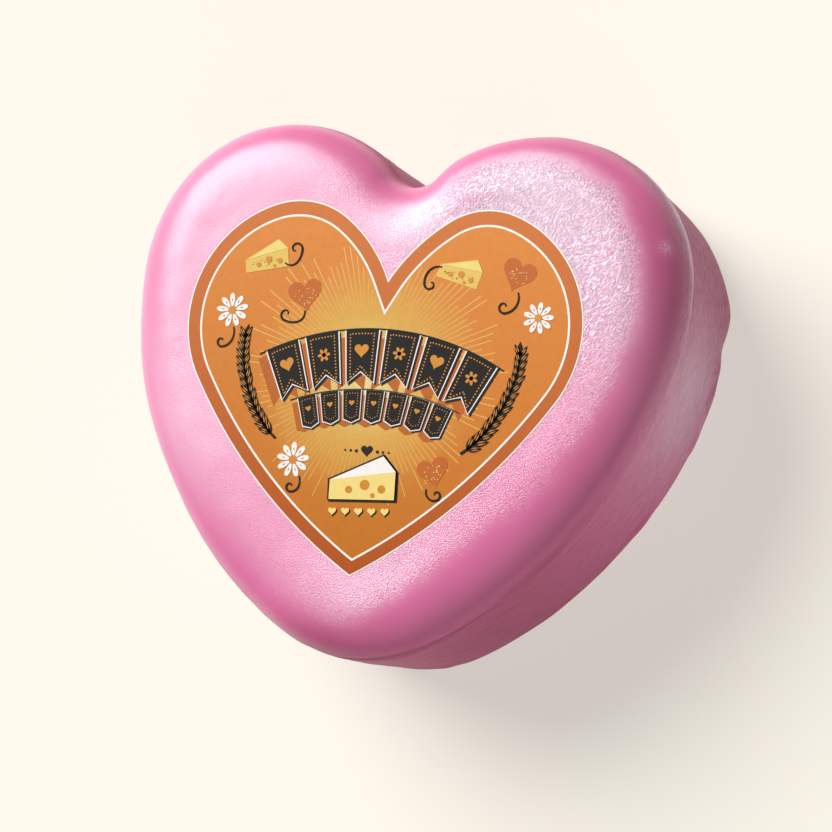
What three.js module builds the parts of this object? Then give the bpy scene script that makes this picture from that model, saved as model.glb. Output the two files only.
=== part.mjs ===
import * as THREE from 'three';

// A waxed, heart-shaped truckle of hard cheese with a paper label on its face.
// Millimetres, +Z up. It lies on its flat back with the label on top, the tip
// of the heart towards -Y and the cleft towards +Y. The origin is the middle of
// the heart's box, on the plane that it rests on.

// Driving dimensions of the waxed cheese
const HEART_WIDTH = 90;
const HEART_LENGTH = 82;
const HEART_THICKNESS = 36;

// Outline of the heart: a chain of arcs that run into each other. Each turn is
// the direction, in degrees from +X, where one arc hands over to the next.
const LOBE_RADIUS = 24.6;
const CLEFT_RADIUS = 4.1;
const SIDE_RADIUS = 59.3;
const SIDE_TURN = -2.7;
const FLANK_RADIUS = 74;
const FLANK_TURN = -27.9;

// Edges: a broad soft one round the face, a smaller one round the back
const FACE_EDGE_WIDTH = 11.2;
const FACE_EDGE_DEPTH = 7.4;
const BACK_EDGE_RADIUS = 6.4;

// Under the face edge the wax forms a low crease, and the wall swells below it
const CREASE_DEPTH = 0.35;
const CREASE_HEIGHT = 1.6;

// Label: a paper heart with a sharp cleft and tip, pressed on by hand, so it
// sits a little off centre, and its left lobe is a touch fuller than its right
const LABEL_THICKNESS = 0.2;
const LABEL_CLEFT_Y = 15.9;
const LABEL_TIP_Y = -28.9;
const LABEL_OFFSET_X = 0.5;
const LABEL_TURN = 0.65;
const LABEL_RIGHT = { lobeX: 15.1, lobeY: 15.8, lobeRadius: 11.45, flankTurn: -32.7 };
const LABEL_LEFT = { lobeX: 15.7, lobeY: 14, lobeRadius: 13.6, flankTurn: -32.8 };
const LABEL_CLEFT_TURN = 124.4;
const LABEL_SHOULDER_TURN = 71.3;
const LABEL_SHOULDER_RADIUS = 18.65;

// How finely the curves are stepped: an arc's longest step, and its widest turn
const HEART_STEP = 2.4;
const LABEL_STEP = 1.8;
const WIDEST_TURN = 9;
const FACE_EDGE_STEPS = 8;
const BACK_EDGE_STEPS = 5;

const rad = THREE.MathUtils.degToRad;
const DOWN = -Math.PI / 2;

function direction(angle) {
  return new THREE.Vector2(Math.cos(angle), Math.sin(angle));
}

// The circle that continues another one at a given direction, with its own radius
function nextCircle(circle, angle, radius) {
  const centre = circle.centre.clone().addScaledVector(direction(angle), circle.radius - radius);
  return { centre, radius };
}

// The circle that continues another one at a given direction and meets a point
function nextCircleThrough(circle, angle, point) {
  const reach = point.clone().sub(circle.centre);
  const along = reach.dot(direction(angle));
  const extra = (circle.radius ** 2 - reach.lengthSq()) / (2 * (along - circle.radius));
  return nextCircle(circle, angle, circle.radius + extra);
}

function angleTo(circle, point) {
  return Math.atan2(point.y - circle.centre.y, point.x - circle.centre.x);
}

function arc({ centre, radius }, from, to, clockwise) {
  return new THREE.EllipseCurve(centre.x, centre.y, radius, radius, from, to, clockwise);
}

// Right half of the heart's outline, from the bottom of the cleft to the tip
function heartHalf() {
  const lobe = {
    centre: new THREE.Vector2(HEART_WIDTH / 2 - LOBE_RADIUS, HEART_LENGTH / 2 - LOBE_RADIUS),
    radius: LOBE_RADIUS,
  };
  const rise = Math.sqrt((CLEFT_RADIUS + LOBE_RADIUS) ** 2 - lobe.centre.x ** 2);
  const cleft = { centre: new THREE.Vector2(0, lobe.centre.y + rise), radius: CLEFT_RADIUS };
  const side = nextCircle(lobe, rad(SIDE_TURN), SIDE_RADIUS);
  const flank = nextCircle(side, rad(FLANK_TURN), FLANK_RADIUS);

  // The tip's arc is centred on the middle line and ends at the heart's length
  const drop = flank.centre.y + HEART_LENGTH / 2;
  const tipRadius = (flank.radius ** 2 - flank.centre.x ** 2 - drop ** 2) / (2 * (flank.radius - drop));
  const tip = { centre: new THREE.Vector2(0, tipRadius - HEART_LENGTH / 2), radius: tipRadius };

  const cleftEnd = angleTo(cleft, lobe.centre);
  const tipStart = angleTo(flank, tip.centre);
  return [
    arc(cleft, DOWN, cleftEnd, false),
    arc(lobe, cleftEnd + Math.PI, rad(SIDE_TURN), true),
    arc(side, rad(SIDE_TURN), rad(FLANK_TURN), true),
    arc(flank, rad(FLANK_TURN), tipStart, true),
    arc(tip, tipStart, DOWN, true),
  ];
}

// One half of the label's outline, from its cleft to its tip
function labelHalf(half) {
  const cleftPoint = new THREE.Vector2(0, LABEL_CLEFT_Y);
  const tipPoint = new THREE.Vector2(0, LABEL_TIP_Y);
  const lobe = { centre: new THREE.Vector2(half.lobeX, half.lobeY), radius: half.lobeRadius };
  const cleft = nextCircleThrough(lobe, rad(LABEL_CLEFT_TURN), cleftPoint);
  const shoulder = nextCircle(lobe, rad(LABEL_SHOULDER_TURN), LABEL_SHOULDER_RADIUS);
  const flank = nextCircleThrough(shoulder, rad(half.flankTurn), tipPoint);

  return [
    arc(cleft, angleTo(cleft, cleftPoint), rad(LABEL_CLEFT_TURN), true),
    arc(lobe, rad(LABEL_CLEFT_TURN), rad(LABEL_SHOULDER_TURN), true),
    arc(shoulder, rad(LABEL_SHOULDER_TURN), rad(half.flankTurn), true),
    arc(flank, rad(half.flankTurn), angleTo(flank, tipPoint), true),
  ];
}

// Points along a half outline, from the middle line to the middle line, each
// with the outward direction there. Side is 1 for the right and -1 for the left.
function sampleHalf(arcs, longestStep, side) {
  const samples = arcs.flatMap((curve) => {
    const sweep = curve.getLength() / curve.xRadius;
    const steps = Math.ceil(Math.max(curve.getLength() / longestStep, sweep / rad(WIDEST_TURN)));
    return Array.from({ length: steps }, (_, i) => sampleAt(curve, i / steps, side));
  });
  samples.push(sampleAt(arcs.at(-1), 1, side));
  samples[0].point.x = 0;
  samples.at(-1).point.x = 0;
  return samples;
}

function sampleAt(curve, t, side) {
  const point = curve.getPoint(t);
  const tangent = curve.getTangent(t);
  return {
    point: new THREE.Vector2(side * point.x, point.y),
    outward: new THREE.Vector2(-side * tangent.y, tangent.x).normalize(),
  };
}

// The whole outline, counter-clockwise from the cleft: down the left half to
// the tip, and up the right half
function closedOutline(rightArcs, leftArcs, longestStep) {
  const left = sampleHalf(leftArcs, longestStep, -1);
  const right = sampleHalf(rightArcs, longestStep, 1);
  return [...left.slice(0, -1), ...right.slice(1).reverse()];
}

// The wall's profile from the back to the face: how far in from the outline,
// and how high
function wallProfile() {
  const profile = [];
  for (let i = 0; i <= BACK_EDGE_STEPS; i++) {
    const turn = (Math.PI / 2) * (i / BACK_EDGE_STEPS);
    profile.push({
      inset: BACK_EDGE_RADIUS * (1 - Math.sin(turn)),
      height: BACK_EDGE_RADIUS * (1 - Math.cos(turn)),
    });
  }
  const creaseTop = HEART_THICKNESS - FACE_EDGE_DEPTH;
  profile.push({ inset: 0, height: creaseTop - CREASE_HEIGHT });
  for (let i = 0; i <= FACE_EDGE_STEPS; i++) {
    const turn = (Math.PI / 2) * (i / FACE_EDGE_STEPS);
    profile.push({
      inset: CREASE_DEPTH + (FACE_EDGE_WIDTH - CREASE_DEPTH) * (1 - Math.cos(turn)),
      height: creaseTop + FACE_EDGE_DEPTH * Math.sin(turn),
    });
  }
  return profile;
}

// A closed body through one ring of points for each entry of the profile
function loft(outline, profile) {
  const positions = [];
  const rings = profile.map(({ inset, height }) =>
    outline.map(({ point, outward }) => {
      const at = point.clone().addScaledVector(outward, -inset);
      positions.push(at.x, at.y, height);
      return at;
    }));

  const count = outline.length;
  const index = [];
  for (let ring = 0; ring + 1 < rings.length; ring++) {
    for (let i = 0; i < count; i++) {
      const a = ring * count + i;
      const b = ring * count + ((i + 1) % count);
      index.push(a, b, b + count, a, b + count, a + count);
    }
  }
  const top = (rings.length - 1) * count;
  for (const [a, b, c] of THREE.ShapeUtils.triangulateShape(rings[0], [])) {
    index.push(c, b, a);
  }
  for (const [a, b, c] of THREE.ShapeUtils.triangulateShape(rings.at(-1), [])) {
    index.push(top + a, top + b, top + c);
  }

  const geometry = new THREE.BufferGeometry();
  geometry.setAttribute('position', new THREE.Float32BufferAttribute(positions, 3));
  geometry.setIndex(index);
  geometry.computeVertexNormals();
  return geometry;
}

function waxedCheese() {
  const half = heartHalf();
  const geometry = loft(closedOutline(half, half, HEART_STEP), wallProfile());
  const wax = new THREE.MeshStandardMaterial({ color: 0xe79cc3, roughness: 0.35, metalness: 0 });
  const mesh = new THREE.Mesh(geometry, wax);
  mesh.name = 'waxed_cheese';
  return mesh;
}

function label() {
  const outline = closedOutline(labelHalf(LABEL_RIGHT), labelHalf(LABEL_LEFT), LABEL_STEP);
  const shape = new THREE.Shape(outline.map(({ point }) => point));
  const geometry = new THREE.ExtrudeGeometry(shape, { depth: LABEL_THICKNESS, bevelEnabled: false });
  const paper = new THREE.MeshStandardMaterial({ color: 0xdd8a48, roughness: 0.55, metalness: 0 });
  const mesh = new THREE.Mesh(geometry, paper);
  mesh.name = 'label';
  mesh.position.set(LABEL_OFFSET_X, 0, HEART_THICKNESS);
  mesh.rotation.z = rad(LABEL_TURN);
  return mesh;
}

const cheese = new THREE.Group();
cheese.add(waxedCheese(), label());

export default cheese;
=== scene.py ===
"""A waxed, heart-shaped truckle of hard cheese, lying on its back with its paper label up.

Lengths are written in millimetres and multiplied by MM where Blender needs metres.
"""

import math
import random

import bpy
from mathutils import Matrix, Vector, kdtree, noise


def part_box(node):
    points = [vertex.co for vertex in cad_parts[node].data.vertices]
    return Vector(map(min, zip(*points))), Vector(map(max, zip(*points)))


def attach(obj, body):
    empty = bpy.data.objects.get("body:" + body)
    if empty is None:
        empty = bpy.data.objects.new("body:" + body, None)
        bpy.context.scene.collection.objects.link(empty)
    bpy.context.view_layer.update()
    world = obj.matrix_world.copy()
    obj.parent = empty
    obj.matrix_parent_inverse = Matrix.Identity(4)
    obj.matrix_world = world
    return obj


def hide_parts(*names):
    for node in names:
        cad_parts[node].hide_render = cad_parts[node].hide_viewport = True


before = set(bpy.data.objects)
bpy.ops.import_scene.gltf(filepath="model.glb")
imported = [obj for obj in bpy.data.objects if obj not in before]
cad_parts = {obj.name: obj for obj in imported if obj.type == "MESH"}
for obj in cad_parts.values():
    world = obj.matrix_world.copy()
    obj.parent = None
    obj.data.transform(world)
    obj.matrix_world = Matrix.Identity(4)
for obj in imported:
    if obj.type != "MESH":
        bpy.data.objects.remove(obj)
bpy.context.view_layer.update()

MM = 0.001

# The heights of the face and the label come from the frame
_, BODY_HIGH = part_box("waxed_cheese")
LABEL_LOW, LABEL_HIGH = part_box("label")
FACE_HEIGHT = BODY_HIGH.z / MM
LABEL_TOP = LABEL_HIGH.z / MM

# The heart's outline: arcs that run into each other, as in the frame
HEART_WIDTH = 90.0
HEART_LENGTH = 82.0
LOBE_RADIUS = 24.6
CLEFT_RADIUS = 4.1
SIDE_RADIUS = 59.3
SIDE_TURN = math.radians(-2.7)
FLANK_RADIUS = 74.0
FLANK_TURN = math.radians(-27.9)

# Its edges: a broad one round the face and a smaller one round the back. A fullness of 2 is an ellipse's.
FACE_EDGE_WIDTH = 11.2
FACE_EDGE_DEPTH = 7.4
FACE_EDGE_FULLNESS = 2.5
BACK_EDGE_RADIUS = 6.4
BACK_EDGE_FULLNESS = 2.0

# The label: a paper heart with a sharp cleft and tip, its left lobe a touch fuller than its right
LABEL_CLEFT_Y = 15.9
LABEL_TIP_Y = -28.9
LABEL_LOBES_Y = 27.0
LABEL_OFFSET_X = 0.5
LABEL_TURN = math.radians(0.65)
LABEL_RIGHT = {"lobe_x": 15.1, "lobe_y": 15.8, "radius": 11.45, "flank_turn": math.radians(-32.7)}
LABEL_LEFT = {"lobe_x": 15.7, "lobe_y": 14.0, "radius": 13.6, "flank_turn": math.radians(-32.8)}
LABEL_CLEFT_TURN = math.radians(124.4)
LABEL_SHOULDER_TURN = math.radians(71.3)
LABEL_SHOULDER_RADIUS = 18.65
LABEL_STEP = 0.4
CUT_ROUNDING = 0.04

# The label's print: margins from its edge, how far the line sits off the middle, and each ink's thickness
BORDER_MARGIN = 0.22
LINE_MARGIN = 2.12
FIELD_MARGIN = 2.44
LINE_SHIFT = (0.1, -0.17)
INK_STEP = 0.012

# The sunburst behind the flags: its middle, and how many rays it has
SUNBURST = (-1.0, 1.0)
RAY_COUNT = 128

# The two arches that the flags hang on: their radius, their middles, and how far apart the flags are
ARCH_RADIUS = 38.0
UPPER_ARCH = (0.3, -33.0)
LOWER_ARCH = (0.3, -38.9)
UPPER_SPACING = 6.15
LOWER_SPACING = 3.75

# Each kind of flag: the radii of its lower and upper ends, its width, and its notch, or its point if under 0
UPPER_FLAG = (33.2, 41.2, 4.9, 1.7)
LOWER_FLAG = (33.6, 37.9, 2.9, -0.6)

# The paper and the inks from it up, each with its colour at the label's tip and at its lobes. The tip colours
# are darker: painted shade on the paper and the pale inks, and on the coloured inks partly painted shade,
# partly the print's own gradient
PAPER = ("#ebe6e4", "#f0ecea")
INKS = {
    "border": ("#a14800", "#c4713a"),
    "line": ("#e6e0da", "#ebe6e2"),
    "field": ("#b06506", "#d2823d"),
    "rays": ("#c8963a", "#dcae6a"),
    "shadow": ("#a2560f", "#b4632e"),
    "terracotta": ("#b05a1c", "#b8632f"),
    "straw": ("#d1a94a", "#d6b662"),
    "plum": ("#1c0f10", "#23161a"),
    "white": ("#e2dcda", "#e6e2e0"),
    "cream": ("#dfc878", "#dfc878"),
    "charcoal": ("#0d0c0b", "#121110"),
    "gold": ("#c07a1e", "#c98a3a")}

# The glow behind the sunburst: from and to how far out, how strong, and its colour
GLOW = ((7.0, 20.0, 0.85, "#cda44e"), (1.0, 10.5, 0.95, "#d4c484"))

# How finely the wax is modelled, and how far in from the outline its fine rings reach
OUTLINE_STEP = 0.42
FACE_STEP = 0.36
WALL_STEP = 0.45
BACK_STEP = 0.6
FACE_REACH = 17.5

# How much longer the curve of an edge is than its chord
ARC_TO_CHORD = 1.1

# The seam that runs round the heart under the face edge: its height at turns from +X
SEAM_HEIGHTS = (
    (-180, 27.5), (-102, 30.0), (-78, 31.7), (-59, 30.3), (-45, 28.5), (-36, 26.9), (0, 27.3),
    (40, 27.7), (180, 27.5))

# How far in from the outline the rough face, with its bloom and painted sheen, begins, at turns from +X
FACE_BEGINS = (
    (-180, 3.4), (-92, 3.8), (-72, 6.2), (-52, 7.0), (-20, 4.8), (30, 4.6), (48, 3.6), (66, 3.2), (180, 3.4))

# Where the heart is slimmer than its drawn outline: a place, how far the change reaches, and how deep it is
SLIMMER = (((-43.5, 19.0), 19.0, 1.0), ((17.0, 40.5), 14.0, 0.65), ((1.0, 32.5), 5.0, 0.85))

# Where the seam and the rim below show how the wax was dipped and handled
STRONG_SEAM = ((41.5, 29.0), 12.0)
RIM_HEIGHT = 7.6
RIM_SWELLS = (((45.2, 20.5, 6.0), 3.5, 0.35), ((44.8, 14.4, 5.0), 2.2, -0.5))
RIM_CREASES = (
    ((45.2, 22.0, 6.8), (45.2, 19.2, 6.2)),
    ((44.7, 12.2, 6.9), (43.6, 4.2, 6.3)),
    ((44.4, 10.4, 8.4), (43.7, 5.6, 7.8)))

# Marks on the face and the wall: the middle of each, and for some how far it reaches
SCUFF = ((41.4, 23.6, 33.2), 1.0)
PITS = ((-29.5, 26.7), (-33.0, 32.4), (-33.5, 4.0), (36.4, 12.5))
PIT_RADIUS = 0.45
RIPPLED_LOBE = (26.5, 25.5)
RIPPLE_TURN = math.radians(48)
PEBBLED_TIP = (5.0, -31.0)
SPECKLED_EDGE = ((-8.0, 30.0), 7.0)
# Where most of the bloom and painted sheen are left off
BARE_FLANK = ((32.0, -9.5), 15.0)
# A painted reflection: a pale patch on the right wall, its middle and how far it reaches
PAINTED_WALL_REFLECTION = ((43.5, 5.0, 18.0), 12.0)

# Where painted highlights lie on the face and where painted shade darkens the colour: a place, how far it
# reaches, and how much
PAINTED_HIGHLIGHTS = (
    ((20.0, 33.5), 8.0, 0.36), ((3.5, 27.5), 5.0, 0.5),
    ((-34.0, -9.0), 14.0, 0.22), ((37.0, 12.0), 6.0, 0.14))
PAINTED_SHADE_SPOTS = (((42.0, 17.0), 12.5, 0.5), ((-3.0, -39.5), 8.0, 0.5), ((22.0, 40.0), 11.0, 0.36))

# Depths of the wall's relief: the seam's lip and groove, slow waves, runs of wax, and the rim's folds
SEAM_LIP = 0.5
SEAM_GROOVE = 0.25
WALL_WAVES = 0.3
WALL_RUNS = 0.07
RIM_FOLD = 0.4
RIM_CREASE = 0.35

# Depths of the face's relief: slow waves, dimples, ripples, pebbles and pits
FACE_WAVES = 0.1
FACE_DIMPLES = 0.04
RIPPLE_DEPTH = 0.05
PEBBLE_DEPTH = 0.02
PIT_DEPTH = 0.07

# How high the face swells on the rippled lobe, and round the label, whose edge pressed the wax up
LOBE_SWELL = 0.45
LABEL_SWELL = 0.15

# The wax's own colour, the darker pink of its painted shade, and the pale pink of its bloom and painted light
WAX_PINK = "#d3719d"
PAINTED_SHADE_PINK = "#a84a70"
BLOOM_AND_SHEEN_PINK = "#f7dbef"

# How many times as long as wide a ripple is
RIPPLE_STRETCH = 4

# The finest patterns are drawn by the materials: how many cells of each go in a millimetre
RIPPLES_PER_MM = 4.6
PEBBLES_PER_MM = 5.2
RUNS_PER_MM = (0.3, 0.3, 1.2)
CRINKLES_PER_MM = (0.8, 0.8, 2.2)
FIBRES_PER_MM = 1.0

# The photograph's view: the heart's turn, tilt and roll before the camera, and how far away it is
VIEW_TURN = math.radians(-22.26)
VIEW_TILT = math.radians(-6.71)
VIEW_ROLL = math.radians(-8.01)
VIEW_DISTANCE = 361.3
VIEW_OFFSET = (6.41, -0.95)
FOCAL_LENGTH = 95.2
SENSOR_WIDTH = 36.0

# The studio: each lamp's direction, its spread in degrees and its strength
LAMPS = {"softbox": ((-0.57, 0.45, 0.68), 42, 5.0), "card": ((0.45, -0.72, 0.5), 60, 0.75)}
LAMP_COLOUR = (1.0, 0.985, 0.96)
ROOM_STRENGTH = 0.03
FLOOR_GLOW = 0.55


def linear(code):
    """An sRGB hex colour as linear red, green, blue and alpha."""
    parts = [int(code[i:i + 2], 16) / 255 for i in (1, 3, 5)]
    return tuple(c / 12.92 if c <= 0.04045 else ((c + 0.055) / 1.055) ** 2.4 for c in parts) + (1.0,)


def add_node(tree, kind, inputs=None, **settings):
    """Adds one shader node with its settings, its values and its links."""
    made = tree.nodes.new("ShaderNode" + kind)
    for name, value in settings.items():
        setattr(made, name, value)
    for name, value in (inputs or {}).items():
        if isinstance(value, bpy.types.NodeSocket):
            tree.links.new(value, made.inputs[name])
        else:
            made.inputs[name].default_value = value
    return made


def new_material(name):
    """An empty node material with its output."""
    material = bpy.data.materials.new(name)
    material.use_nodes = True
    tree = material.node_tree
    tree.nodes.clear()
    return material, tree, tree.nodes.new("ShaderNodeOutputMaterial")


def add_camera():
    """The camera looks down on the heart as the photograph looks at it."""
    roll = Matrix.Rotation(VIEW_ROLL, 3, "Z")
    tilt = Matrix.Rotation(VIEW_TILT, 3, "X")
    turn = Matrix.Rotation(VIEW_TURN, 3, "Y")
    to_world = (roll @ tilt @ turn).transposed()
    place = to_world @ Vector((-VIEW_OFFSET[0], -VIEW_OFFSET[1], VIEW_DISTANCE)) * MM
    data = bpy.data.cameras.new("camera")
    data.sensor_width = SENSOR_WIDTH
    data.lens = FOCAL_LENGTH
    data.clip_start = 0.01
    camera = bpy.data.objects.new("camera", data)
    camera.matrix_world = Matrix.Translation(place) @ to_world.to_4x4()
    bpy.context.scene.collection.objects.link(camera)
    bpy.context.scene.camera = camera


add_camera()


def add_lights():
    """A softbox high on the left and behind, and a card that fills from the right and in front."""
    for name, (toward, spread, strength) in LAMPS.items():
        light = bpy.data.lights.new(name, "SUN")
        light.energy = strength
        light.angle = math.radians(spread)
        light.color = LAMP_COLOUR
        lamp = bpy.data.objects.new(name, light)
        lamp.rotation_mode = "QUATERNION"
        lamp.rotation_quaternion = Vector(toward).to_track_quat("Z", "Y")
        bpy.context.scene.collection.objects.link(lamp)
    world = bpy.data.worlds.new("studio")
    world.use_nodes = True
    world.node_tree.nodes["Background"].inputs["Color"].default_value = (1, 1, 1, 1)
    world.node_tree.nodes["Background"].inputs["Strength"].default_value = ROOM_STRENGTH
    bpy.context.scene.world = world
    bpy.context.scene.view_settings.view_transform = "Standard"


add_lights()


def arc_points(circle, start, end, step):
    """Points along an arc, its last one left to the next arc."""
    centre, radius = circle
    count = max(1, round(abs(end - start) * radius / step))
    turns = [start + (end - start) * i / count for i in range(count)]
    return [(centre[0] + radius * math.cos(t), centre[1] + radius * math.sin(t)) for t in turns]


def next_circle(circle, turn, radius):
    """The circle that takes over from another at a given turn, with its own radius."""
    (x, y), old = circle
    return (x + (old - radius) * math.cos(turn), y + (old - radius) * math.sin(turn)), radius


def next_circle_through(circle, turn, point):
    """The circle that takes over from another at a given turn and meets a point."""
    (x, y), radius = circle
    reach = (point[0] - x, point[1] - y)
    along = reach[0] * math.cos(turn) + reach[1] * math.sin(turn)
    extra = (radius ** 2 - reach[0] ** 2 - reach[1] ** 2) / (2 * (along - radius))
    return next_circle(circle, turn, radius + extra)


def heart_outline(step):
    """The heart's outline, counter-clockwise from the cleft."""
    lobe = ((HEART_WIDTH / 2 - LOBE_RADIUS, HEART_LENGTH / 2 - LOBE_RADIUS), LOBE_RADIUS)
    (lobe_x, lobe_y), _ = lobe
    cleft_y = lobe_y + math.sqrt((CLEFT_RADIUS + LOBE_RADIUS) ** 2 - lobe_x ** 2)
    side = next_circle(lobe, SIDE_TURN, SIDE_RADIUS)
    flank = next_circle(side, FLANK_TURN, FLANK_RADIUS)
    (flank_x, flank_y), _ = flank
    drop = flank_y + HEART_LENGTH / 2
    tip_radius = (FLANK_RADIUS ** 2 - flank_x ** 2 - drop ** 2) / (2 * (FLANK_RADIUS - drop))
    tip_y = tip_radius - HEART_LENGTH / 2
    cleft_end = math.atan2(lobe_y - cleft_y, lobe_x)
    tip_start = math.atan2(tip_y - flank_y, -flank_x)
    right = arc_points(((0, cleft_y), CLEFT_RADIUS), -math.pi / 2, cleft_end, step)
    right += arc_points(lobe, cleft_end + math.pi, SIDE_TURN, step)
    right += arc_points(side, SIDE_TURN, FLANK_TURN, step)
    right += arc_points(flank, FLANK_TURN, tip_start, step)
    right += arc_points(((0, tip_y), tip_radius), tip_start, -math.pi / 2, step)
    tip = [(0.0, -HEART_LENGTH / 2)]
    left = [(-x, y) for x, y in right[1:]]
    return [right[0]] + left + tip + right[:0:-1]


def label_half(half, inset, step):
    """One half of the label's outline, from its cleft to its tip, drawn in by an inset."""
    lobe = ((half["lobe_x"], half["lobe_y"]), half["radius"])
    cleft = next_circle_through(lobe, LABEL_CLEFT_TURN, (0, LABEL_CLEFT_Y))
    shoulder = next_circle(lobe, LABEL_SHOULDER_TURN, LABEL_SHOULDER_RADIUS)
    flank = next_circle_through(shoulder, half["flank_turn"], (0, LABEL_TIP_Y))
    start = math.acos(-cleft[0][0] / cleft[1])
    end = -math.acos(-flank[0][0] / (flank[1] - inset))
    arcs = ((cleft, start, LABEL_CLEFT_TURN), (lobe, LABEL_CLEFT_TURN, LABEL_SHOULDER_TURN),
            (shoulder, LABEL_SHOULDER_TURN, half["flank_turn"]), (flank, half["flank_turn"], end))
    points = []
    for (centre, radius), first, last in arcs:
        points += arc_points((centre, radius - inset), first, last, step)
    x, y = points[0]
    tip = flank[0][1] + (flank[1] - inset) * math.sin(end)
    return points[1:], y + x / math.tan(start), tip


def label_outline(inset=0.0, step=LABEL_STEP):
    """The label's outline drawn in by an inset, counter-clockwise from the cleft."""
    right, right_cleft, right_tip = label_half(LABEL_RIGHT, inset, step)
    left, left_cleft, left_tip = label_half(LABEL_LEFT, inset, step)
    cleft = (0.0, (right_cleft + left_cleft) / 2)
    tip = (0.0, (right_tip + left_tip) / 2)
    return [cleft] + [(-x, y) for x, y in left] + [tip] + right[::-1]


def on_label(x, y):
    """A place on the label, which is pressed on a little turned and off centre, as a place on the heart."""
    c, s = math.cos(LABEL_TURN), math.sin(LABEL_TURN)
    return LABEL_OFFSET_X + x * c - y * s, x * s + y * c


def deselect_all():
    """Leaves nothing selected, because an operator acts on all that is."""
    for piece in bpy.context.selected_objects:
        piece.select_set(False)


def flat_piece(name, outline, height):
    """A filled flat shape: a round face whose rim is drawn to an outline."""
    deselect_all()
    bpy.ops.mesh.primitive_circle_add(vertices=len(outline), radius=MM, fill_type="NGON")
    piece = bpy.context.object
    piece.name = piece.data.name = name
    for vertex, (x, y) in zip(piece.data.vertices, outline):
        vertex.co = (x * MM, y * MM, height * MM)
    return piece


def raise_face(height):
    """Draws the selected faces straight up, with a wall round them."""
    bpy.ops.mesh.extrude_region_move(TRANSFORM_OT_translate={"value": (0, 0, height * MM)})


def inset_face(width, depth):
    """Draws the selected faces in by a width and out along their normal by a depth."""
    bpy.ops.mesh.inset(thickness=width * MM, depth=depth * MM, use_even_offset=True)


def quarter_steps(width, depth, fullness, step):
    """Steps in and up that follow a quarter of an ellipse, or of a fuller curve, from a wall to a flat."""
    count = round(math.hypot(width, depth) * ARC_TO_CHORD / step)
    power = 2 / fullness
    places = []
    for i in range(count):
        turn = math.pi / 2 * i / count
        places.append((width * (1 - math.cos(turn) ** power), depth * math.sin(turn) ** power))
    places.append((width, depth))
    return [(b[0] - a[0], b[1] - a[1]) for a, b in zip(places, places[1:])]


def fade(value, start, end):
    """A smooth step from 0 at one value to 1 at another."""
    t = min(max((value - start) / (end - start), 0), 1)
    return t * t * (3 - 2 * t)


def hump(value, centre, width):
    """A smooth hump of height 1."""
    return math.exp(-((value - centre) / width) ** 2)


def spot(x, y, place, reach):
    """A round hump of height 1 about a place."""
    return math.exp(-((x - place[0]) ** 2 + (y - place[1]) ** 2) / reach ** 2)


def spots(x, y, table):
    """What round humps add up to at a place, from a table of their places, reaches and heights."""
    return sum(height * spot(x, y, place, reach) for place, reach, height in table)


def ball(point, place, reach):
    """A hump of height 1 about a place in space."""
    return hump((point - Vector(place)).length, 0, reach)


def groove(point, start, end, width):
    """A hump of height 1 along a straight line."""
    line = Vector(end) - Vector(start)
    along = min(max((point - Vector(start)).dot(line) / line.length_squared, 0), 1)
    return hump((point - Vector(start) - line * along).length, 0, width)


def outward_directions(outline):
    """The direction out of a counter-clockwise outline at each of its points."""
    return [Vector((after[1] - before[1], before[0] - after[0], 0)).normalized()
            for before, after in zip(outline[-1:] + outline[:-1], outline[1:] + outline[:1])]


def select_back(piece):
    """Selects the back of a heart: the lowest face, with the most corners."""
    bpy.ops.mesh.select_mode(type="FACE")
    bpy.ops.mesh.select_all(action="DESELECT")
    bpy.ops.object.mode_set(mode="OBJECT")
    back = min(piece.data.polygons, key=lambda face: face.center.z - len(face.vertices))
    back.select = True
    bpy.ops.object.mode_set(mode="EDIT")


def model_heart(outline):
    """A flat heart drawn up into a wall, with a broad edge round its face and a smaller one below."""
    heart = flat_piece("waxed_heart", outline, BACK_EDGE_RADIUS)
    bpy.ops.object.mode_set(mode="EDIT")
    bpy.ops.mesh.select_all(action="SELECT")
    wall = FACE_HEIGHT - FACE_EDGE_DEPTH - BACK_EDGE_RADIUS
    rings = round(wall / WALL_STEP)
    for _ in range(rings):
        raise_face(wall / rings)
    for width, depth in quarter_steps(FACE_EDGE_WIDTH, FACE_EDGE_DEPTH, FACE_EDGE_FULLNESS, FACE_STEP):
        inset_face(width, depth)
    reach = FACE_REACH - FACE_EDGE_WIDTH
    rings = round(reach / FACE_STEP)
    for _ in range(rings):
        inset_face(reach / rings, 0)
    bpy.ops.mesh.select_all(action="SELECT")
    bpy.ops.mesh.normals_make_consistent(inside=False)
    select_back(heart)
    for width, depth in quarter_steps(BACK_EDGE_RADIUS, BACK_EDGE_RADIUS, BACK_EDGE_FULLNESS, BACK_STEP):
        inset_face(width, depth)
    bpy.ops.object.mode_set(mode="OBJECT")
    bpy.ops.object.shade_smooth()
    return heart


def around(table, turn):
    """What a table gives at a turn from +X, in degrees."""
    for (start, low), (end, high) in zip(table, table[1:]):
        if turn <= end:
            return low + (high - low) * fade(turn, start, end)
    return table[-1][1]


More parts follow.
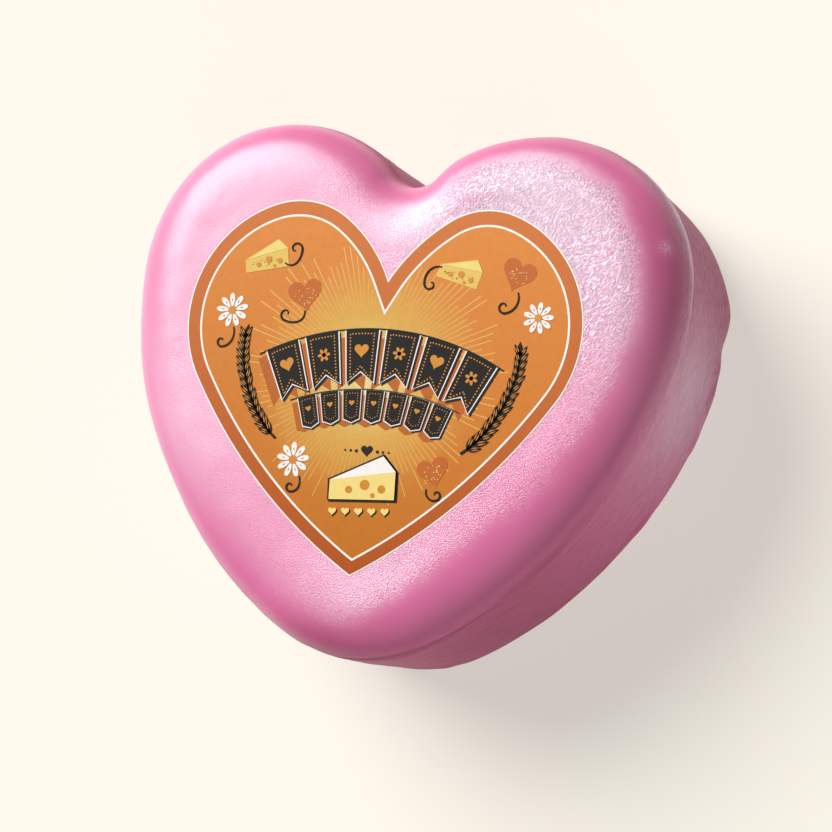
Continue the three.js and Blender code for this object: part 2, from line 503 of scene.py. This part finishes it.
def wall_relief(x, y, z, turn, flow):
    """How far the dipped wall stands out: a lip at the seam, slow waves, runs of wax, and a folded rim."""
    above = z - around(SEAM_HEIGHTS, turn)
    strength = 0.1 + spot(x, y, *STRONG_SEAM)
    relief = SEAM_LIP * strength * fade(above, 0.1, 1.1) * (1 - fade(above, 1.3, 3.6))
    relief -= SEAM_GROOVE * strength * hump(above, 0, 0.25)

    # Noise that is read at x / 19 makes waves about 19 mm long
    relief += WALL_WAVES * noise.noise(Vector((x / 19, y / 19, z / 15))) * fade(z, 2, 9)
    relief += WALL_RUNS * noise.noise(Vector((flow.x / 3.2, flow.y / 3.2, z / 1.7)))
    rim = RIM_HEIGHT + 1.1 * noise.noise(flow * 0.14 + Vector((0, 0, 4)))
    fold = 0.5 * fade(noise.noise(flow * 0.17), 0.1, 0.6)
    relief -= RIM_CREASE * fold * hump(z, rim, 0.5)
    relief += RIM_FOLD * fold * hump(z, rim - 2.2, 1.3) * fade(z, 0.5, 4)
    for place, reach, swell in RIM_SWELLS:
        relief += swell * ball(Vector((x, y, z)), place, reach)
    for start, end in RIM_CREASES:
        relief -= RIM_CREASE * groove(Vector((x, y, z)), start, end, 0.4)
    return relief


def face_relief(x, y, inset, from_label):
    """How far the face stands up: waves, ripples, pebbles, pits, and the wax that the label pressed up."""
    relief = FACE_WAVES * noise.noise(Vector((x / 12, y / 12, 0)))
    relief += FACE_DIMPLES * noise.noise(Vector((x / 4, y / 4, 5)))
    grain = fade(inset, 3.5, 7.0)
    c, s = math.cos(RIPPLE_TURN), math.sin(RIPPLE_TURN)
    ripples = RIPPLE_DEPTH * noise.noise(Vector(((x * c + y * s) / 2.2, (y * c - x * s) / 0.8, 0)))
    pebbles = PEBBLE_DEPTH * noise.noise(Vector((x / 0.9, y / 0.9, 9)))
    relief += grain * ripples * spot(x, y, RIPPLED_LOBE, 20)
    relief += LOBE_SWELL * spot(x, y, RIPPLED_LOBE, 20) * hump(inset, 8.2, 4.0)
    relief += grain * pebbles * spot(x, y, PEBBLED_TIP, 12)
    for place in PITS:
        relief -= PIT_DEPTH * spot(x, y, place, PIT_RADIUS)
    return relief * fade(from_label, 0, 2.5) + LABEL_SWELL * fade(from_label, -0.8, -0.4)


def face_share(normal):
    """How far a point belongs to the face rather than to the wall, by its normal."""
    return fade(normal.z, 0.3, 0.75)


def wax_marks(point, normal, turn, inset, above):
    """How the finish of the wax, and the light and shade painted on it, change at one of its points, as a
    number for each mark.
    """
    x, y, z = point
    begins = around(FACE_BEGINS, turn)
    ragged = 0.6 * noise.noise(Vector((x / 1.1, y / 1.1, 2))) + 0.9 * noise.noise(Vector((x / 5, y / 5, 3)))
    near_face = z > FACE_HEIGHT - FACE_EDGE_DEPTH
    grain = fade(inset + ragged, begins - 0.2, begins + 2.8) * near_face
    bloom_and_sheen_zone = fade(inset + 0.5 * ragged, begins - 1.0, begins + 4.4) * near_face
    wall = 1 - fade(normal.z, 0.1, 0.6)
    rippled = spot(x, y, RIPPLED_LOBE, 22)
    pebbled = spot(x, y, PEBBLED_TIP, 11)
    scuff = ball(point, *SCUFF)

    # Bloom and painted sheen lie on the face; painted light on the left edge, a painted highlight on the
    # seam's lip, bloom on the scuff, and a painted reflection on the right wall
    lip_highlight = 0.4 * (1 - fade(above, 1.2, 5)) + 0.9 * hump(above, 1.5, 0.8)
    lip_highlight *= spot(x, y, *STRONG_SEAM) * fade(above, 0.3, 1.1)
    bloom_and_sheen = bloom_and_sheen_zone * (0.12 + 0.7 * rippled + 0.22 * pebbled) * (1 - 0.8 * spot(x, y, *BARE_FLANK))
    bloom_and_sheen += 0.15 * fade(-x, 18, 40) * (1 - bloom_and_sheen_zone) + 0.85 * lip_highlight + 0.3 * scuff
    bloom_and_sheen += spots(x, y, PAINTED_HIGHLIGHTS) * fade(inset, 2, 5)
    bloom_and_sheen += 0.45 * ball(point, *PAINTED_WALL_REFLECTION)

    # Painted shade: darker at a few edges, and on the wall, most of all towards the tip and the cleft
    painted_shade = spots(x, y, PAINTED_SHADE_SPOTS) * (1 - bloom_and_sheen_zone)
    painted_shade += wall * (0.2 + 0.8 * fade(-y, 5, 35) + 0.45 * fade(y, 15, 35))

    # The face is rougher on the right, the right wall is streaked, and the wall and right edge are duller
    rough = 0.25 + 0.45 * fade(x, -2, 18) + 0.8 * rippled + 0.7 * pebbled + 0.5 * spot(x, y, *SPECKLED_EDGE)
    streaked = fade(x, 22, 38) * fade(y, -25, 5)
    handled = fade(x - 0.6 * y, 5, 35) * (1 - grain)
    return {
        "bloom_and_sheen": bloom_and_sheen,
        "painted_shade": min(1, painted_shade),
        "ripple": min(1, 1.6 * rippled) * face_share(normal),
        "relief": 1.5 * scuff + grain * min(1.2, rough),
        "streak": wall * (0.12 + 0.88 * streaked),
        "gloss": (1 - wall) * (1 - 0.75 * handled)}


def search_tree(outline):
    """A tree that finds the point of an outline nearest to a place."""
    tree = kdtree.KDTree(len(outline))
    for i, (x, y) in enumerate(outline):
        tree.insert((x, y, 0), i)
    tree.balance()
    return tree


def shape_wax(heart, outline, label_edge):
    """Moves each point of the wax along its normal, and marks how its finish, and the light and shade painted
    on it, change from place to place.
    """
    rim, edge = search_tree(outline), search_tree(label_edge)
    rim_outward, edge_outward = outward_directions(outline), outward_directions(label_edge)
    round_radius = len(outline) * OUTLINE_STEP / math.tau
    mesh = heart.data
    normals = [vertex.normal.copy() for vertex in mesh.vertices]
    marks = []
    flows = []
    for vertex, normal in zip(mesh.vertices, normals):
        x, y, z = vertex.co / MM
        place, index, inset = rim.find((x, y, 0))
        turn = math.degrees(math.atan2(place.y, place.x))
        on_face = face_share(normal)

        # The rings of points gather at the seam, to draw it crisply, and move in where the heart is slimmer
        above = z - around(SEAM_HEIGHTS, turn)
        gather = 0.7 * above * hump(above, 0, 1.5) * (1 - on_face)
        slimmer = spots(place.x, place.y, SLIMMER)
        vertex.co -= (Vector((0, 0, 1)) - normal * normal.z) * gather * MM
        vertex.co -= rim_outward[index] * slimmer * (1 - fade(inset, 3, 14)) * MM

        # The distance from the label's edge is less than nothing under the label
        x, y, z = vertex.co / MM
        nearest, edge_index, from_label = edge.find((x, y, 0))
        if (Vector((x, y, 0)) - nearest).dot(edge_outward[edge_index]) < 0:
            from_label = -from_label

        # The flow is the place on a round wall of the same length, so that runs of wax follow the wall
        angle = math.tau * index / len(outline)
        flow = Vector((math.cos(angle), math.sin(angle), 0)) * round_radius
        relief = wall_relief(x, y, z, turn, flow) * (1 - on_face) * fade(z, 0.1, 2.5)
        if z > FACE_HEIGHT - FACE_EDGE_DEPTH:
            relief += face_relief(x, y, inset, from_label) * on_face
        vertex.co += normal * relief * MM
        marks.append(wax_marks(Vector((x, y, z)), normal, turn, inset, above))
        flows += (flow.x, flow.y, z)
    for name in marks[0]:
        values = [mark[name] for mark in marks]
        mesh.attributes.new(name, "FLOAT", "POINT").data.foreach_set("value", values)
    mesh.attributes.new("flow", "FLOAT_VECTOR", "POINT").data.foreach_set("vector", flows)


heart_edge = heart_outline(OUTLINE_STEP)
label_edge = [on_label(x, y) for x, y in label_outline()]
heart = model_heart(heart_edge)
shape_wax(heart, heart_edge, label_edge)


def wax_material():
    """Cheese wax, dipped warm: a dense satin pink that glows a little, with a pale bloom and painted sheen on
    its face, and painted shade on its wall and edges.
    """
    material, tree, output = new_material("Dipped cheese wax")
    place = add_node(tree, "TexCoord").outputs["Object"]
    bloom_and_sheen, ripple, depth, painted_shade, streak, gloss = (
        add_node(tree, "Attribute", attribute_name=name).outputs["Fac"]
        for name in ("bloom_and_sheen", "ripple", "relief", "painted_shade", "streak", "gloss"))
    flow = add_node(tree, "Attribute", attribute_name="flow").outputs["Vector"]

    # Ripples 0.2 mm wide and four times as long, parted by fine creases, slantwise over the right lobe
    drawn = add_node(tree, "Mapping", {
        "Vector": place, "Rotation": (0, 0, RIPPLE_TURN), "Scale": (RIPPLE_STRETCH, 1, 1)},
        vector_type="TEXTURE").outputs[0]
    waves = add_node(tree, "TexNoise", {
        "Vector": drawn, "Scale": RIPPLES_PER_MM / MM,
        "Detail": 1.0, "Roughness": 0.5, "Distortion": 0.5}).outputs["Fac"]
    shift = add_node(tree, "Math", {0: waves, 1: 0.5}, operation="SUBTRACT").outputs[0]
    fold = add_node(tree, "Math", {0: shift}, operation="ABSOLUTE").outputs[0]
    ripples = add_node(tree, "MapRange", {"Value": fold, "From Max": 0.12}).outputs[0]

    # Pebbles 0.2 mm across over the rest of the face
    pebbles = add_node(tree, "TexNoise", {
        "Vector": place, "Scale": PEBBLES_PER_MM / MM,
        "Detail": 0.0, "Roughness": 0.5, "Distortion": 0.3}).outputs["Fac"]
    height = add_node(tree, "Mix", {0: ripple, 2: pebbles, 3: ripples}).outputs[0]
    first = add_node(tree, "Bump", {"Height": height, "Strength": depth, "Distance": 0.09 * MM}).outputs[0]

    # Runs along the wall 0.8 mm wide and 3 mm long, with crinkles about half as large between them
    along = add_node(tree, "Mapping", {"Vector": flow, "Scale": RUNS_PER_MM}).outputs[0]
    runs = add_node(tree, "TexNoise", {
        "Vector": along, "Scale": 1.0, "Detail": 4.0, "Roughness": 0.65, "Distortion": 0.3}).outputs["Fac"]
    short = add_node(tree, "Mapping", {"Vector": flow, "Scale": CRINKLES_PER_MM}).outputs[0]
    crinkles = add_node(tree, "TexNoise", {
        "Vector": short, "Scale": 1.0, "Detail": 2.0, "Roughness": 0.6, "Distortion": 0.6}).outputs["Fac"]
    uneven = add_node(tree, "Mix", {0: 0.65, 2: runs, 3: crinkles}).outputs[0]
    second = add_node(tree, "Bump", {
        "Height": uneven, "Strength": streak, "Distance": 0.4 * MM, "Normal": first}).outputs[0]

    # Painted shade in the creases and a painted highlight on the ridges: the ridges take more of the pale
    # pink, the creases less
    crease_shade_ridge_highlight = add_node(tree, "MapRange", {
        "Value": height, "From Min": 0.1, "From Max": 0.6, "To Min": -0.32, "To Max": 0.22}).outputs[0]
    # Paler where the runs on the wall stand higher; with the bloom and painted light this sets how pale the
    # wax is
    paler_on_runs = add_node(tree, "MapRange", {
        "Value": uneven, "From Min": 0.4, "From Max": 0.7, "To Max": 0.25}).outputs[0]
    bloom_sheen_and_runs = add_node(tree, "Math", {0: paler_on_runs, 1: streak, 2: bloom_and_sheen}, operation="MULTIPLY_ADD").outputs[0]
    pale = add_node(tree, "Math", {
        0: crease_shade_ridge_highlight, 1: depth, 2: bloom_sheen_and_runs}, operation="MULTIPLY_ADD", use_clamp=True).outputs[0]
    wax = add_node(tree, "Mix", {
        0: painted_shade, 6: linear(WAX_PINK), 7: linear(PAINTED_SHADE_PINK)}, data_type="RGBA").outputs[2]
    tone = add_node(tree, "Mix", {0: pale, 6: wax, 7: linear(BLOOM_AND_SHEEN_PINK)}, data_type="RGBA").outputs[2]

    # The wall and the lower right edge have been handled, and have lost most of their gloss
    coat = add_node(tree, "MapRange", {"Value": gloss, "To Min": 0.03, "To Max": 0.82}).outputs[0]
    shader = add_node(tree, "BsdfPrincipled", {
        "Base Color": tone, "Roughness": 0.45, "IOR": 1.3, "Specular IOR Level": 0.1,
        "Subsurface Weight": 0.25, "Subsurface Radius": (0.003, 0.001, 0.0016), "Subsurface Scale": 1.0,
        "Coat Weight": coat, "Coat Roughness": 0.28, "Coat IOR": 1.6,
        "Normal": second, "Coat Normal": second})
    tree.links.new(shader.outputs[0], output.inputs["Surface"])
    return material


heart.data.materials.append(wax_material())
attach(heart, "root")
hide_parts("waxed_cheese")


def model_paper():
    """The paper heart, with the least rounding that a die leaves along its cut edge."""
    paper = flat_piece("label_paper", label_edge, LABEL_LOW.z / MM)
    thickness = (LABEL_HIGH.z - LABEL_LOW.z) / MM
    bpy.ops.object.mode_set(mode="EDIT")
    bpy.ops.mesh.select_all(action="SELECT")
    raise_face(thickness - CUT_ROUNDING)
    inset_face(CUT_ROUNDING, CUT_ROUNDING)
    bpy.ops.mesh.select_all(action="SELECT")
    bpy.ops.mesh.normals_make_consistent(inside=False)
    bpy.ops.object.mode_set(mode="OBJECT")
    return paper


def round_shape(radius, count=12):
    """A dot about its own middle."""
    turns = [math.tau * i / count for i in range(count)]
    return [(radius * math.cos(t), radius * math.sin(t)) for t in turns]


def heart_shape(width, count=28):
    """A plump little heart about its own middle."""
    shape = []
    for i in range(count):
        t = math.tau * i / count
        x = 16 * math.sin(-t) ** 3
        y = 13 * math.cos(t) - 5 * math.cos(2 * t) - 2 * math.cos(3 * t) - math.cos(4 * t)
        shape.append((x * width / 32, (y + 2.5) * width / 32))
    return shape


def leaf_shape(length, width, count=6):
    """A pointed leaf from its foot at the origin, along +X."""
    parts = [i / count for i in range(count + 1)]
    side = [(length * part, width / 2 * math.sin(math.pi * part ** 0.8)) for part in parts]
    return [(x, -y) for x, y in side] + side[-2:0:-1]


def petal_shape(length, width, count=10):
    """A rounded petal from its foot at the origin, along +X."""
    points = []
    for i in range(count):
        c, s = math.cos(math.tau * i / count), math.sin(math.tau * i / count)
        points.append((length / 2 * (1 - c), -width / 2 * s * (0.75 - 0.25 * c)))
    return points


def curve_points(start, first, second, end, count=16):
    """Points along a Bezier curve."""
    points = []
    for i in range(count + 1):
        t = i / count
        a, b, c, d = (1 - t) ** 3, 3 * t * (1 - t) ** 2, 3 * t * t * (1 - t), t ** 3
        points.append(tuple(a * p + b * q + c * r + d * s for p, q, r, s in zip(start, first, second, end)))
    return points


def curl_points(place, radius, turn, sweep, count=20):
    """Points along a curl that winds in to its middle."""
    points = []
    for i in range(count + 1):
        t = i / count
        reach = radius * (1 - 0.75 * t)
        at = turn + sweep * t
        points.append((place[0] + reach * math.cos(at), place[1] + reach * math.sin(at)))
    return points


def stroke_shape(points, width, end_width=0.1):
    """A pen stroke along some points, thinner at its end."""
    left, right = [], []
    for i, (x, y) in enumerate(points):
        before, after = points[max(i - 1, 0)], points[min(i + 1, len(points) - 1)]
        dx, dy = after[0] - before[0], after[1] - before[1]
        length = math.hypot(dx, dy)
        half = (width + (end_width - width) * i / (len(points) - 1)) / 2
        left.append((x - dy / length * half, y + dx / length * half))
        right.append((x + dy / length * half, y - dx / length * half))
    return right + left[::-1]


prints = {ink: [] for ink in INKS}


def stamp(ink, shape, place=(0, 0), turn=0.0, size=1.0):
    """Puts a shape on the list of what an ink prints."""
    prints[ink].append((tuple(shape), place, turn, size))


def inside(point, outline):
    """Whether a point lies in a closed outline."""
    x, y = point
    crossings = 0
    for (x1, y1), (x2, y2) in zip(outline, outline[1:] + outline[:1]):
        if (y1 > y) != (y2 > y) and x < x1 + (y - y1) * (x2 - x1) / (y2 - y1):
            crossings += 1
    return crossings % 2 == 1


def draw_rays():
    """A sunburst of fine rays, each as long as the field leaves it."""
    random.seed(11)
    limit = label_outline(FIELD_MARGIN + 0.35, 1.0)
    for i in range(RAY_COUNT):
        turn = math.tau * i / RAY_COUNT
        c, s = math.cos(turn), math.sin(turn)
        wish = random.uniform(17.0, 22.5) if s > -0.3 else random.uniform(15.0, 20.0)
        reach = 3.0
        while reach < wish and inside((SUNBURST[0] + reach * c, SUNBURST[1] + reach * s), limit):
            reach += 0.25
        ends = [(SUNBURST[0] + r * c, SUNBURST[1] + r * s) for r in (2.6, reach - 0.25)]
        stamp("rays", stroke_shape(ends, 0.05, 0.05 + 0.006 * reach))


def arch_place(arch, radius, along):
    """A place on an arch: its radius, and how far along the arch it is from the middle."""
    turn = along / ARCH_RADIUS
    return arch[0] + radius * math.sin(turn), arch[1] + radius * math.cos(turn)


def pennant(arch, along, flag, grow=0.0, count=5):
    """A swallow-tailed or pointed flag that hangs from an arch, grown all round by a margin."""
    low, high, width, notch = flag
    half = width / 2 + grow
    top = [arch_place(arch, high + grow, along + half - (width * 0.999 + 2 * grow) * i / count)
           for i in range(count + 1)]
    left = arch_place(arch, low - grow, along - half)
    middle = arch_place(arch, low + notch - grow * 1.2, along)
    right = arch_place(arch, low - grow, along + half)
    return top + [left, middle, right]


def dotted(ink, path, gap, radius):
    """Dots at even gaps along a closed path."""
    spare = 0.0
    for (x1, y1), (x2, y2) in zip(path, path[1:] + path[:1]):
        length = math.hypot(x2 - x1, y2 - y1)
        while spare < length:
            t = spare / length
            stamp(ink, round_shape(radius, 8), (x1 + (x2 - x1) * t, y1 + (y2 - y1) * t))
            spare += gap
        spare -= length


def draw_bunting():
    """Two arches of dark flags, dotted with gold like fairground lights, over a soft drop shadow."""
    for i in range(6):
        along = (i - 2.5) * UPPER_SPACING
        shape = pennant(UPPER_ARCH, along, UPPER_FLAG)
        stamp("shadow", shape, (-1.35, -1.25))
        stamp("plum", pennant(UPPER_ARCH, along, UPPER_FLAG, 0.12), (0.38, -0.34))
        stamp("white", pennant(UPPER_ARCH, along, UPPER_FLAG, 0.2))
        stamp("charcoal", shape)
        dotted("gold", pennant(UPPER_ARCH, along, UPPER_FLAG, -0.62), 0.5, 0.125)
        middle = arch_place(UPPER_ARCH, 37.9, along)
        if i % 2:
            for k in range(6):
                stamp("gold", petal_shape(1.05, 0.62), middle, math.tau * k / 6 - along / ARCH_RADIUS)
            stamp("gold", round_shape(0.34), middle)
        else:
            stamp("gold", heart_shape(2.3), middle, -along / ARCH_RADIUS)
    for arch, radius, reach, width in ((UPPER_ARCH, 41.3, 38, 0.2), (LOWER_ARCH, 38.0, 28, 0.14)):
        string = [arch_place(arch, radius, 0.5 * i) for i in range(reach, -reach - 1, -1)]
        stamp("charcoal", stroke_shape(string, width, width))
    for i in range(7):
        along = (i - 3) * LOWER_SPACING
        shape = pennant(LOWER_ARCH, along, LOWER_FLAG)
        stamp("shadow", shape, (-0.9, -0.8))
        stamp("plum", pennant(LOWER_ARCH, along, LOWER_FLAG, 0.1), (0.26, -0.24))
        stamp("white", pennant(LOWER_ARCH, along, LOWER_FLAG, 0.14))
        stamp("charcoal", shape)
        dotted("gold", pennant(LOWER_ARCH, along, LOWER_FLAG, -0.5), 0.42, 0.085)
        stamp("gold", heart_shape(0.9), arch_place(LOWER_ARCH, 35.9, along), -along / ARCH_RADIUS)


def draw_laurel(side):
    """A pen-drawn sprig of leaves beside the arches, with two gold strokes in each leaf."""
    stem = curve_points((side * 15.0, -9.4), (side * 19.4, -6.2), (side * 22.6, 0.4), (side * 22.3, 5.6), 15)
    stamp("charcoal", stroke_shape(stem, 0.42, 0.2))
    for i, (x, y) in enumerate(stem[1:], 1):
        dx, dy = x - stem[i - 1][0], y - stem[i - 1][1]
        along = math.atan2(dy, dx)
        for lean in (-1, 1):
            turn = along + lean * random.uniform(0.42, 0.56)
            size = random.uniform(0.88, 1.1) * (1 - 0.18 * i / 15)
            stamp("charcoal", leaf_shape(2.5, 0.95), (x, y), turn, size)
            for shift in (-0.17, 0.17):
                foot = (x + size * (0.75 * math.cos(turn) - shift * math.sin(turn)),
                        y + size * (0.75 * math.sin(turn) + shift * math.cos(turn)))
                stamp("gold", leaf_shape(1.25, 0.17), foot, turn, size)
    x, y = stem[-1]
    stamp("charcoal", leaf_shape(2.4, 0.95), (x, y - 0.2), math.pi / 2 + side * 0.1)


def draw_wedge(place, turn, width, body="straw", top="cream"):
    """A wedge of cheese with holes, its upper face lighter."""
    front = ((-0.5, -0.28), (0.5, -0.28), (0.5, 0.12), (-0.5, 0.0))
    upper = ((-0.5, 0.0), (0.5, 0.12), (0.3, 0.34))
    holes = ((-0.2, -0.14, 0.055), (0.04, -0.07, 0.075), (0.3, -0.13, 0.06), (0.17, -0.22, 0.035))
    stamp(body, [(x * width, y * width) for x, y in front], place, turn)
    stamp(top, [(x * width, y * width) for x, y in upper], place, turn)
    c, s = math.cos(turn), math.sin(turn)
    for x, y, radius in holes:
        at = (place[0] + width * (x * c - y * s), place[1] + width * (x * s + y * c))
        stamp("gold", round_shape(radius * width), at)


def draw_speckle(ink, place, turn, width, height, count, radius):
    """Small pen dots scattered in an oval."""
    c, s = math.cos(turn), math.sin(turn)
    for _ in range(count):
        reach, angle = math.sqrt(random.random()), random.uniform(0, math.tau)
        x, y = width / 2 * reach * math.cos(angle), height / 2 * reach * math.sin(angle)
        stamp(ink, round_shape(radius, 6), (place[0] + x * c - y * s, place[1] + x * s + y * c))


def draw_daisy(place, turn, width):
    """A white daisy with pen marks on its petals."""
    for i in range(9):
        angle = turn + math.tau * i / 9
        c, s = math.cos(angle), math.sin(angle)
        foot = (place[0] + 0.1 * width * c, place[1] + 0.1 * width * s)
        stamp("white", petal_shape(0.42 * width, 0.22 * width), foot, angle)
        mark = (place[0] + 0.26 * width * c, place[1] + 0.26 * width * s)
        stamp("charcoal", leaf_shape(0.1 * width, 0.1), mark, angle)
    stamp("gold", round_shape(0.13 * width), place)


def draw_heart(place, turn, width):
    """A terracotta heart, speckled with cream."""
    stamp("terracotta", heart_shape(width), place, turn)
    draw_speckle("cream", place, turn, 0.62 * width, 0.5 * width, 22, 0.09)


def draw_tendril(start, first, second, end, curl, sweep):
    """A dark tendril that ends in a curl."""
    stamp("charcoal", stroke_shape(curve_points(start, first, second, end), 0.22, 0.34))
    turn = math.atan2(end[1] - second[1], end[0] - second[0]) - math.copysign(math.pi / 2, sweep)
    middle = (end[0] - curl * math.cos(turn), end[1] - curl * math.sin(turn))
    stamp("charcoal", stroke_shape(curl_points(middle, curl, turn, sweep), 0.34, 0.2))


def draw_motifs():
    """Wedges, hearts and daisies with dark tendrils, scattered over the field."""
    draw_wedge((-20.6, 18.4), 0.2, 7.2)
    draw_speckle("charcoal", (-20.6, 17.6), 0.2, 5.4, 1.6, 16, 0.07)
    draw_tendril((-17.4, 17.6), (-15.8, 16.6), (-14.6, 18.2), (-14.8, 20.0), 1.1, 4.6)
    draw_heart((-13.2, 12.6), 0.25, 5.6)
    draw_tendril((-13.0, 10.4), (-12.6, 8.8), (-14.4, 8.0), (-16.4, 8.8), 1.0, -4.4)
    draw_daisy((-25.2, 9.8), 0.3, 5.2)
    draw_tendril((-24.6, 7.2), (-24.0, 5.6), (-24.8, 4.2), (-26.2, 4.0), 0.9, -4.2)
    draw_wedge((11.4, 17.8), -0.25, 6.8)
    draw_speckle("charcoal", (11.3, 17.0), -0.25, 5.0, 1.5, 16, 0.07)
    draw_tendril((8.4, 18.2), (6.8, 18.6), (5.6, 17.2), (5.9, 15.4), 1.0, 4.4)
    draw_heart((20.4, 17.4), -0.3, 5.4)
    draw_tendril((20.8, 15.0), (21.4, 13.6), (20.6, 12.0), (19.0, 11.8), 1.0, -4.6)
    draw_daisy((24.4, 11.4), 0.1, 4.6)
    draw_daisy((-11.6, -12.4), 0.2, 5.2)
    draw_tendril((-10.2, -14.8), (-9.6, -16.2), (-10.4, -17.4), (-11.6, -17.2), 0.8, -4.2)
    draw_heart((11.2, -12.6), 0.35, 5.0)
    draw_tendril((10.4, -15.0), (10.2, -16.2), (11.4, -17.0), (12.4, -16.4), 0.8, 4.2)


def draw_wedge_mark():
    """The cream wedge under the arches, with its dark edge, dots and a heart above it, and hearts below."""
    stamp("plum", heart_shape(1.9), (0.2, -10.2), 0.05)
    for side in (-1, 1):
        for k in range(3):
            at = (0.2 + side * (1.7 + 0.9 * k), -10.2 + 0.05 * side)
            stamp("plum", round_shape(0.26 - 0.05 * k, 8), at)
    outline = [(-5.5, -3.0), (5.5, -3.0), (5.5, 1.45), (3.25, 3.95), (-5.6, 0.2)]
    stamp("plum", outline, (0.12, -14.55), 0.07)
    stamp("plum", outline, (0.34, -14.82), 0.07)
    draw_wedge((0.1, -14.5), 0.07, 10.5, "cream", "white")
    for i in range(5):
        x = (i - 2) * 2.1
        stamp("plum", heart_shape(1.45), (x + 0.22, -19.45 + 0.07 * x), 0.07)
        stamp("cream", heart_shape(1.3), (x + 0.1, -19.3 + 0.07 * x), 0.07)


def print_ink(name, level, stamps):
    """Prints one ink: each shape is modelled once and copied to its places, and all get one thickness."""
    top = LABEL_TOP + (level + 1) * INK_STEP
    whole = Matrix.Translation((LABEL_OFFSET_X * MM, 0, top * MM)) @ Matrix.Rotation(LABEL_TURN, 4, "Z")
    patterns = {}
    pieces = []
    for shape, place, turn, size in stamps:
        if shape not in patterns:
            pattern = flat_piece(name, shape, 0)
            patterns[shape] = pattern.data
            bpy.data.objects.remove(pattern)
        piece = bpy.data.objects.new(name, patterns[shape].copy())
        bpy.context.scene.collection.objects.link(piece)
        on_paper = Matrix.Translation((place[0] * MM, place[1] * MM, 0)) @ Matrix.Rotation(turn, 4, "Z")
        piece.data.transform(whole @ on_paper @ Matrix.Diagonal((size, size, 1, 1)))
        pieces.append(piece)
    for mesh in patterns.values():
        bpy.data.meshes.remove(mesh)
    deselect_all()
    for piece in pieces:
        piece.select_set(True)
    bpy.context.view_layer.objects.active = pieces[0]
    bpy.ops.object.join()
    ink = bpy.context.object
    ink.name = ink.data.name = name + "_ink"
    layer = ink.modifiers.new("layer", "SOLIDIFY")
    layer.thickness = (top - LABEL_TOP + INK_STEP / 2) * MM
    layer.offset = -1
    bpy.ops.object.modifier_apply(modifier="layer")
    return ink


def print_material(name, low, high, glow):
    """Coated paper or the offset ink on it: colour darker towards the label's tip, partly painted shade, a
    faint mottle from the fibres, and little gloss.
    """
    material, tree, output = new_material(name)
    place = add_node(tree, "TexCoord").outputs["Object"]
    up = add_node(tree, "MapRange", {
        "Value": add_node(tree, "SeparateXYZ", {"Vector": place}).outputs["Y"],
        "From Min": LABEL_TIP_Y * MM, "From Max": LABEL_LOBES_Y * MM}).outputs[0]
    tone = add_node(tree, "Mix", {0: up, 6: linear(low), 7: linear(high)}, data_type="RGBA").outputs[2]

    # The field turns gold and then pale towards the sunburst's middle
    middle = Vector((*SUNBURST, LABEL_TOP)) * MM
    away = add_node(tree, "VectorMath", {0: place, 1: middle}, operation="DISTANCE").outputs["Value"]
    for near, far, strength, code in glow:
        ring = add_node(tree, "MapRange", {
            "Value": away, "From Min": near * MM, "From Max": far * MM, "To Min": strength, "To Max": 0.0},
            interpolation_type="SMOOTHSTEP").outputs[0]
        tone = add_node(tree, "Mix", {0: ring, 6: tone, 7: linear(code)}, data_type="RGBA").outputs[2]

    # Paper fibres up to 1 mm long
    mottle = add_node(tree, "TexNoise", {
        "Vector": place, "Scale": FIBRES_PER_MM / MM, "Detail": 3.0}).outputs["Fac"]
    light = add_node(tree, "MapRange", {"Value": mottle, "To Min": 0.92, "To Max": 1.08}).outputs[0]
    tone = add_node(tree, "Mix", {
        0: 1.0, 6: tone, 7: light}, data_type="RGBA", blend_type="MULTIPLY").outputs[2]
    grain = add_node(tree, "Bump", {"Height": mottle, "Strength": 0.3, "Distance": 0.03 * MM}).outputs[0]
    shader = add_node(tree, "BsdfPrincipled", {
        "Base Color": tone, "Roughness": 0.66, "IOR": 1.3, "Normal": grain})
    tree.links.new(shader.outputs[0], output.inputs["Surface"])
    return material


def print_label():
    """The label's paper, and over it one thin plate for each ink."""
    paper = model_paper()
    paper.data.materials.append(print_material("Coated white paper", *PAPER, ()))
    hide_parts("label")
    stamp("border", label_outline(BORDER_MARGIN))
    stamp("line", label_outline(LINE_MARGIN), LINE_SHIFT)
    stamp("field", label_outline(FIELD_MARGIN), LINE_SHIFT)
    draw_rays()
    draw_bunting()
    for side in (-1, 1):
        draw_laurel(side)
    draw_motifs()
    draw_wedge_mark()
    layers = [paper]
    for level, (name, (low, high)) in enumerate(INKS.items()):
        ink = print_ink(name, level, prints[name])
        glow = GLOW if name in ("field", "rays") else ()
        ink.data.materials.append(print_material("Offset ink, " + name, low, high, glow))
        layers.append(ink)
    for layer in layers:
        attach(layer, "root")


print_label()


def add_floor():
    """A table of opal acrylic, lit softly from below, which keeps the shadows on it pale."""
    deselect_all()
    bpy.ops.mesh.primitive_plane_add(size=4)
    floor = bpy.context.object
    floor.name = "floor"
    material, tree, output = new_material("Opal acrylic, lit from below")
    shader = add_node(tree, "BsdfPrincipled", {
        "Base Color": linear("#9f9b92"), "Roughness": 0.9,
        "Emission Color": linear("#fffbf2"), "Emission Strength": FLOOR_GLOW})
    tree.links.new(shader.outputs[0], output.inputs["Surface"])
    floor.data.materials.append(material)


add_floor()
